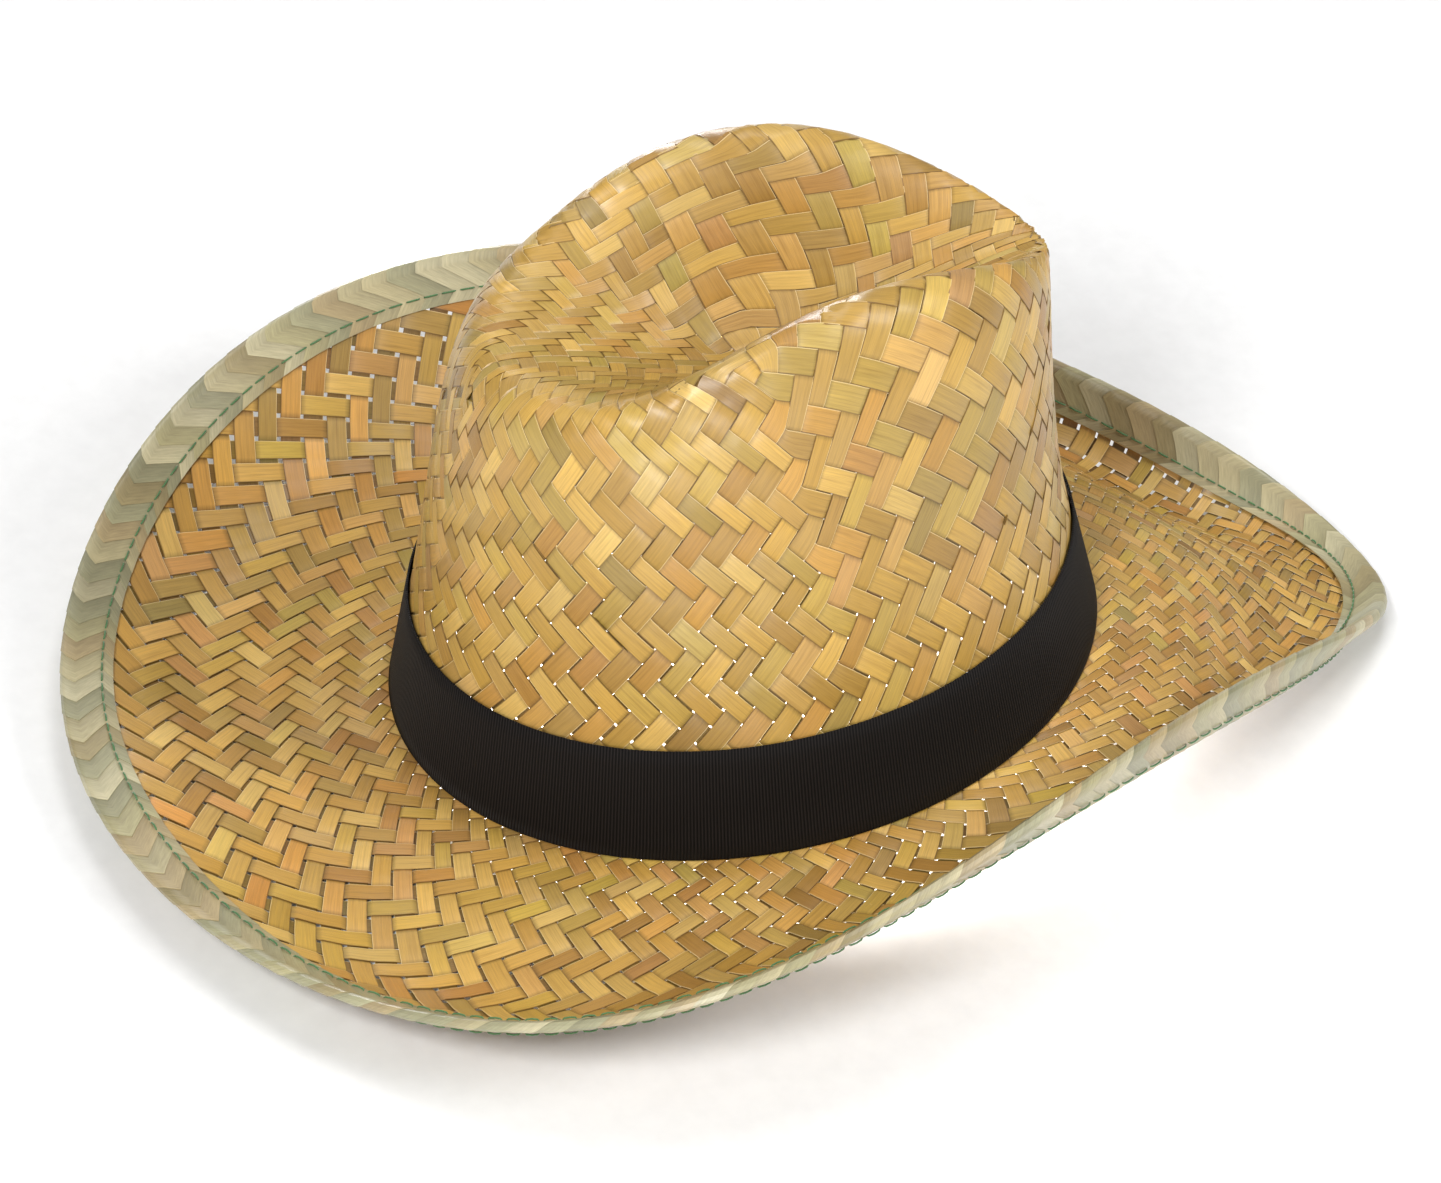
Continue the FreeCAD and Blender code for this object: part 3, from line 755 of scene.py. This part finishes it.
def braidAt(run, row):
    column = np.interp(run % edgeRun[-1], edgeRun, np.arange(columns + 1))
    low = np.floor(column).astype(int) % columns
    mix = (column - np.floor(column))[..., None]
    after = (low + 1) % columns
    point = braidPoints[low, row] * (1 - mix) + braidPoints[after, row] * mix
    normal = braidNormals[low, row] * (1 - mix) + braidNormals[after, row] * mix
    return point, unit(normal)


def braidGrids():
    sizes = braidSizes
    count = int(round(edgeRun[-1] / sizes["pitch"]))
    pitch = edgeRun[-1] / count
    rows = np.arange(len(braidReach))
    lines = braidLines
    shift = np.array(lines["upperShift"] + lines["noseShift"] + lines["lowerShift"])
    shift = sizes["slant"] * shift
    grids = []
    for index in range(count):
        start = index * pitch + chance.normal(0, sizes["jitter"])
        spots, ways = [], []
        for step in np.linspace(0, 1, sizes["steps"]):
            run = start + step * (pitch + sizes["overlap"]) + shift
            point, normal = braidAt(run, rows)
            spots.append(point + normal * (sizes["raise"] * (step - sizes["lowStep"])))
            ways.append(normal)
        grids.append((np.array(spots), np.array(ways)))
    return grids


braidFinish = {"grain": (14.0, 1.6, 1.0), "roughness": 0.42, "coat": 0.3, "coatRoughness": 0.25,
               "depth": 0.00015, "relief": 0.6}


def braidMaterial():
    values = braidFinish
    material, nodes, links, shader = newMaterial("braidLeaf")
    uv = uvOf(nodes)
    fine = stretchedNoise(nodes, links, uv, values["grain"], 5.0, 0.6)
    base = tintAndShadeOf(nodes)
    streaks = ramp(nodes, links, fine, [(0.3, (0.80, 0.80, 0.78)), (0.7, (1.12, 1.12, 1.10))])
    links.new(multiply(nodes, links, base, streaks), shader.inputs["Base Color"])
    shader.inputs["Roughness"].default_value = values["roughness"]
    shader.inputs["Coat Weight"].default_value = values["coat"]
    shader.inputs["Coat Roughness"].default_value = values["coatRoughness"]
    bump(nodes, links, fine, values["depth"], values["relief"], shader.inputs["Normal"])
    return material


leafColours = [(0.40, 0.36, 0.20), (0.47, 0.41, 0.24), (0.35, 0.33, 0.20), (0.42, 0.33, 0.18),
               (0.52, 0.47, 0.30), (0.33, 0.27, 0.14)]
# spread is each leaf's random tone; start and power set the painted shade at a leaf's lapped end.
leafToneAndLapShade = {"spread": 0.06, "start": 0.5, "power": 0.5}


def braidTintsAndShade(grids):
    # Each leaf has its own colour, and painted shade darkens it toward its first end, where it is
    # lapped.
    tintsAndShade = []
    for spots, _ in grids:
        own = np.array(leafColours[chance.randint(len(leafColours))])
        own = own * chance.normal(1.0, leafToneAndLapShade["spread"])
        # Painted shade: the leaf is darker toward its first end, under the leaf that laps it.
        lapShade = np.linspace(leafToneAndLapShade["start"], 1.0, len(spots))**leafToneAndLapShade["power"]
        sheet = np.repeat(own[None] * lapShade[:, None], spots.shape[1], 0)
        tintsAndShade += [sheet, sheet]
    return np.clip(np.concatenate(tintsAndShade), 0, 1)


leaves = braidGrids()
braid = slabs("edgeBraid", leaves, braidMaterial(), braidSizes["thickness"])
giveTintAndShade(braid, braidTintsAndShade(leaves))
faceOutward(braid)
crispEdges(braid)
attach(braid, "root")
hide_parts("edge_binding")
print("braid laid")


threadSizes = {"edgeCount": 216, "edgeInset": 9.0, "edgeOffset": 2.05, "radius": 0.27,
               "fill": 0.78, "seamCount": 120, "seamHeight": 4.0, "seamProud": 0.25}
# Place along a stitch, height and share of its radius, at each of its rings.
stitchRings = ((-1, -0.45, 0.7), (-0.75, -0.1, 1), (0, 0.05, 1), (0.75, -0.1, 1), (1, -0.45, 0.7))


def stitchPiece(name, centres, normals, material):
    # Short rounds of thread that dip into the straw at each end.
    points, faces, base = [], [], 0
    radius = threadSizes["radius"]
    for start, end, up in zip(centres, np.roll(centres, -1, 0), normals):
        half = (end - start) * threadSizes["fill"] / 2
        middle = (start + end) / 2
        side = unit(np.cross(half, up))
        for share, dip, size in stitchRings:
            centre = middle + half * share + up * dip
            for turn in np.arange(6) * math.pi / 3:
                spoke = side * math.cos(turn) + up * math.sin(turn)
                points.append(centre + spoke * radius * size)
        for ring in range(4):
            for corner in range(6):
                a, b = base + ring * 6 + corner, base + ring * 6 + (corner + 1) % 6
                faces.append((a, b, b + 6, a + 6))
        faces.append(tuple(base + corner for corner in range(5, -1, -1)))
        faces.append(tuple(base + 24 + corner for corner in range(6)))
        base += 30
    piece = newPiece(name, np.array(points), faces, material)
    faceOutward(piece)
    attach(piece, "root")
    return piece


threadFinish = {"scale": 4000.0, "low": 0.35, "high": 0.65, "roughness": 0.55, "sheen": 0.3,
                "depth": 0.0001}
greenThread = grainMaterial("greenThread", {**threadFinish, "dark": (0.035, 0.11, 0.035),
                                            "light": (0.09, 0.24, 0.08)})
darkThread = grainMaterial("darkThread", {**threadFinish, "dark": (0.012, 0.011, 0.010),
                                          "light": (0.035, 0.033, 0.030)})
edgeTurns = np.arange(threadSizes["edgeCount"]) * 2 * math.pi / threadSizes["edgeCount"]
stitchReach = skinLength(brimSkin, edgeTurns) - threadSizes["edgeInset"]
stitchSpot, stitchNormal = onSkin(brimSkin, edgeTurns, stitchReach)
stitchSpot = stitchSpot - stitchNormal * hatShape["weaveThickness"] / 2
for name, side in (("binding_thread_top", 1), ("binding_thread_under", -1)):
    way = stitchNormal * side
    piece = stitchPiece(name.replace("binding_thread_", "edgeStitches_"),
                        stitchSpot + way * threadSizes["edgeOffset"], way, greenThread)
    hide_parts(name)


ribbonSizes = {"height": 34.3, "low": 0.2, "middle": 0.55, "lapMiddle": 1.25, "lapHalf": 7.4,
               "thickness": 0.6, "climb": 3.0, "ripple": 0.05, "columns": 420, "rows": 8}
ribbonFinish = {"ribs": 3.4, "ribSpread": 0.25, "threads": (30.0, 90.0, 1.0), "roughness": 0.75,
                "specular": 0.14, "sheen": 0.03, "sheenRoughness": 0.4, "depth": 0.0003,
                "relief": 0.7}
leanPerRise = hatShape["bandLean"] / hatShape["bandHeight"]


def ribbonGrid():
    sizes = ribbonSizes
    lap = math.radians(sizes["lapHalf"])
    turns = np.linspace(math.pi / 2 - lap, math.pi / 2 + lap + 2 * math.pi, sizes["columns"])
    climb = math.radians(sizes["climb"])
    share = np.clip((turns - (math.pi / 2 - lap + 2 * math.pi - climb)) / climb, 0, 1)
    lift = sizes["lapMiddle"] - sizes["middle"]
    offset = sizes["middle"] + lift * share * share * (3 - 2 * share)
    offset = offset + sizes["ripple"] * np.sin(turns * 9) * np.sin(turns * 4 + 1)
    heights = sizes["low"] + sizes["height"] * np.linspace(0, 1, sizes["rows"])
    rows = [headPoint(turns, leanPerRise * height - offset, height) for height in heights]
    spots = np.stack(rows, 1)
    normals = unit(np.cross(np.gradient(spots, axis=0), np.gradient(spots, axis=1)))
    if np.sum(normals * flat(spots)) < 0:
        normals = -normals
    return spots, normals


def ribbonMaterial():
    # Black grosgrain: fine ribs up and down the ribbon, roughened by its threads.
    values = ribbonFinish
    material, nodes, links, shader = newMaterial("grosgrain")
    uv = uvOf(nodes)
    wave = nodes.new("ShaderNodeTexWave")
    wave.wave_type = "BANDS"
    wave.bands_direction = "X"
    wave.inputs["Scale"].default_value = values["ribs"]
    wave.inputs["Distortion"].default_value = values["ribSpread"]
    wave.inputs["Detail"].default_value = 1.0
    links.new(uv, wave.inputs["Vector"])
    threads = stretchedNoise(nodes, links, uv, values["threads"], 3.0, 0.7)
    height = mathNode(nodes, links, "MULTIPLY_ADD", threads, 0.35, wave.outputs["Fac"])
    stops = [(0.15, (0.0015, 0.0012, 0.0012)), (0.7, (0.006, 0.005, 0.0045)),
             (1.0, (0.016, 0.013, 0.012))]
    links.new(ramp(nodes, links, height, stops), shader.inputs["Base Color"])
    shader.inputs["Roughness"].default_value = values["roughness"]
    shader.inputs["Specular IOR Level"].default_value = values["specular"]
    shader.inputs["Sheen Weight"].default_value = values["sheen"]
    shader.inputs["Sheen Roughness"].default_value = values["sheenRoughness"]
    bump(nodes, links, height, values["depth"], values["relief"], shader.inputs["Normal"])
    return material


ribbon = slabs("ribbonBand", [ribbonGrid()], ribbonMaterial(), ribbonSizes["thickness"])
faceOutward(ribbon)
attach(ribbon, "root")
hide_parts("hat_band")

sweatSizes = {"height": 30.0, "outer": 1.8, "thickness": 1.35, "columns": 240, "rows": 8}
sweatFinish = {"grain": 2600.0, "wear": 40.0, "roughness": 0.7, "sheen": 0.2, "depth": 0.0002,
               "relief": 0.6}


def sweatGrid():
    turns = np.arange(sweatSizes["columns"]) * 2 * math.pi / sweatSizes["columns"]
    middle = sweatSizes["outer"] + sweatSizes["thickness"] / 2
    heights = sweatSizes["height"] * np.linspace(0.005, 1, sweatSizes["rows"])
    spots = np.stack([headPoint(turns, middle + leanPerRise * height, height)
                      for height in heights], 1)
    sideways = np.roll(spots, -1, 0) - np.roll(spots, 1, 0)
    normals = unit(np.cross(sideways, np.gradient(spots, axis=1)))
    return spots, normals


def sweatMaterial():
    material, nodes, links, shader = newMaterial("sweatCloth")
    values, place = sweatFinish, placeOf(nodes)
    grain = stretchedNoise(nodes, links, place, (values["grain"],) * 3, 4.0, 0.6)
    worn = stretchedNoise(nodes, links, place, (values["wear"],) * 3, 3.0, 0.5)
    base = ramp(nodes, links, worn, [(0.3, (0.16, 0.115, 0.075)), (0.7, (0.235, 0.175, 0.12))])
    fine = ramp(nodes, links, grain, [(0.3, (0.75, 0.75, 0.75)), (0.7, (1.15, 1.15, 1.15))])
    links.new(multiply(nodes, links, base, fine), shader.inputs["Base Color"])
    shader.inputs["Roughness"].default_value = values["roughness"]
    shader.inputs["Sheen Weight"].default_value = values["sheen"]
    bump(nodes, links, grain, values["depth"], values["relief"], shader.inputs["Normal"])
    return material


sweat = slabs("sweatRing", [sweatGrid()], sweatMaterial(), sweatSizes["thickness"], closed=True)
faceOutward(sweat)
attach(sweat, "root")
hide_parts("sweatband")

seamTurns = np.arange(threadSizes["seamCount"]) * 2 * math.pi / threadSizes["seamCount"]
seamInset = (sweatSizes["outer"] + sweatSizes["thickness"] + threadSizes["seamProud"]
             + leanPerRise * threadSizes["seamHeight"])
seamCentres = headPoint(seamTurns, seamInset, threadSizes["seamHeight"])
seam = stitchPiece("sweatStitches", seamCentres, unit(-flat(seamCentres)), darkThread)
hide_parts("sweatband_thread")

labelSizes = {"width": 20.0, "height": 14.0, "thickness": 0.45, "gap": 0.35, "low": 4.9,
              "columns": 13, "rows": 7}
labelFinish = {"scale": 3000.0, "low": 0.3, "dark": (0.55, 0.53, 0.48), "high": 0.7,
               "light": (0.72, 0.70, 0.64), "roughness": 0.75, "sheen": 0.0, "depth": 0.0001}


def labelGrid():
    sizes = labelSizes
    half = sizes["width"] / 2 / (hatShape["headWidth"] / 2)
    turns = math.pi + np.linspace(-half, half, sizes["columns"])
    heights = sizes["low"] + sizes["height"] * np.linspace(0, 1, sizes["rows"])
    inset = sweatSizes["outer"] + sweatSizes["thickness"] + sizes["gap"]
    spots = np.stack([headPoint(turns, inset + leanPerRise * height, height)
                      for height in heights], 1)
    return spots, unit(-flat(spots))


label = slabs("clothLabel", [labelGrid()], grainMaterial("labelCloth", labelFinish),
              labelSizes["thickness"])
faceOutward(label)
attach(label, "root")
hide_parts("size_label")
print("cloth and threads ready")


# The wire, its sleeve and the glue keep their CAD shapes.
metalWear = {"scale": 900.0, "glossSpread": 0.2, "depth": 0.00005, "relief": 0.4}


def metalMaterial(name, dark, light, rough):
    values = metalWear
    material, nodes, links, shader = newMaterial(name)
    wear = stretchedNoise(nodes, links, placeOf(nodes), (values["scale"],) * 3, 4.0, 0.6)
    links.new(ramp(nodes, links, wear, [(0.35, dark), (0.65, light)]), shader.inputs["Base Color"])
    shader.inputs["Metallic"].default_value = 1.0
    gloss = mathNode(nodes, links, "MULTIPLY_ADD", wear, values["glossSpread"], rough)
    links.new(gloss, shader.inputs["Roughness"])
    bump(nodes, links, wear, values["depth"], values["relief"], shader.inputs["Normal"])
    return material


glueFinish = {"scale": 500.0, "low": 0.3, "dark": (0.62, 0.58, 0.66), "high": 0.7,
              "light": (0.80, 0.77, 0.82), "roughness": 0.4, "sheen": 0.0, "depth": 0.0002}
finishes = {
    "brim_wire": metalMaterial("steelWire", (0.30, 0.29, 0.28), (0.48, 0.47, 0.45), 0.28),
    "wire_ferrule": metalMaterial("steelSleeve", (0.42, 0.41, 0.40), (0.58, 0.57, 0.55), 0.22),
    "band_glue": grainMaterial("driedGlue", glueFinish),
}
for node, material in finishes.items():
    mesh = frame["nodes"][node].data
    if not mesh.materials:
        mesh.materials.append(material)
    for index in range(len(mesh.materials)):
        mesh.materials[index] = material
print("finishes set")


studio = {"floorSize": 12.0, "worldStrength": 0.28}
floorFinish = {"scale": 120.0, "low": 0.3, "dark": (0.86, 0.86, 0.86), "high": 0.7,
               "light": (0.90, 0.90, 0.90), "roughness": 0.8, "sheen": 0.0, "depth": 0.0}


def floorPiece():
    bpy.ops.object.select_all(action="DESELECT")
    bpy.ops.mesh.primitive_plane_add(size=studio["floorSize"], location=(0, 0, 0))
    floor = bpy.context.object
    floor.name = "studioFloor"
    floor.data.materials.append(grainMaterial("floorPaper", floorFinish))


lights = {
    "key": {"azimuth": -140, "elevation": 44, "distance": 1.9, "size": 0.5, "power": 23},
    "front": {"azimuth": -40, "elevation": 42, "distance": 2.2, "size": 0.8, "power": 20},
    "far": {"azimuth": 60, "elevation": 76, "distance": 2.2, "size": 0.9, "power": 12},
    "lowNear": {"azimuth": -105, "elevation": 7, "distance": 1.6, "size": 0.4, "power": 7},
    "lowFar": {"azimuth": 80, "elevation": 9, "distance": 1.6, "size": 0.4, "power": 9},
}


def wayTo(azimuth, elevation):
    # The direction of a place that is this far round from the front and this high.
    turn, lift = math.radians(azimuth), math.radians(elevation)
    return (math.sin(turn) * math.cos(lift), -math.cos(turn) * math.cos(lift), math.sin(lift))


def diskLight(name, place, values):
    bpy.ops.object.light_add(type="AREA", location=place)
    light = bpy.context.object
    light.name = name
    light.data.shape = "DISK"
    light.data.size = values["size"]
    light.data.energy = values["power"]
    return light


def addLight(name, values):
    way = Vector(wayTo(values["azimuth"], values["elevation"]))
    light = diskLight(name, way * values["distance"], values)
    light.rotation_mode = "QUATERNION"
    light.rotation_quaternion = way.to_track_quat("Z", "Y")


floorPiece()
for name, values in lights.items():
    addLight(name + "Light", values)

# A lamp inside the crown stands in for a lit table: it whitens the floor that shows
# through the small gaps in the weave.
tableGlow = {"height": 0.075, "size": 0.10, "power": 0.6}
glowPlace = toRest(np.array([0.0, 0.0, tableGlow["height"] * 1000]))
diskLight("tableGlowLight", glowPlace, tableGlow).visible_camera = False

world = bpy.data.worlds.new("studioWorld")
bpy.context.scene.world = world
world.use_nodes = True
sky = world.node_tree.nodes["Background"]
sky.inputs["Color"].default_value = (1.0, 1.0, 1.0, 1)
sky.inputs["Strength"].default_value = studio["worldStrength"]

cameraValues = {"azimuth": -111.476, "elevation": 43.955, "roll": -1.743, "distance": 1691.4,
                "lens": 150.8, "shiftX": -0.0166, "shiftY": 0.0326, "sensor": 36.0,
                "nearest": 0.05, "farthest": 50}


def addCamera(values):
    turn, roll = math.radians(values["azimuth"]), math.radians(values["roll"])
    back = np.array(wayTo(values["azimuth"], values["elevation"]))
    right = np.array([math.cos(turn), math.sin(turn), 0])
    up = np.cross(back, right)
    across = right * math.cos(roll) + up * math.sin(roll)
    upward = up * math.cos(roll) - right * math.sin(roll)
    ways = np.stack([across, upward, back]) @ hatAxes
    place = toRest(back * values["distance"])
    camera = bpy.data.objects.new("camera", bpy.data.cameras.new("camera"))
    bpy.context.scene.collection.objects.link(camera)
    rows = [[ways[0][i], ways[1][i], ways[2][i], place[i]] for i in range(3)]
    camera.matrix_world = Matrix(rows + [[0, 0, 0, 1]])
    camera.data.sensor_width = values["sensor"]
    camera.data.lens = values["lens"]
    camera.data.shift_x = values["shiftX"]
    camera.data.shift_y = values["shiftY"]
    camera.data.clip_start = values["nearest"]
    camera.data.clip_end = values["farthest"]
    bpy.context.scene.camera = camera


addCamera(cameraValues)
bpy.context.scene.view_settings.view_transform = "Standard"
print("camera and lights set")
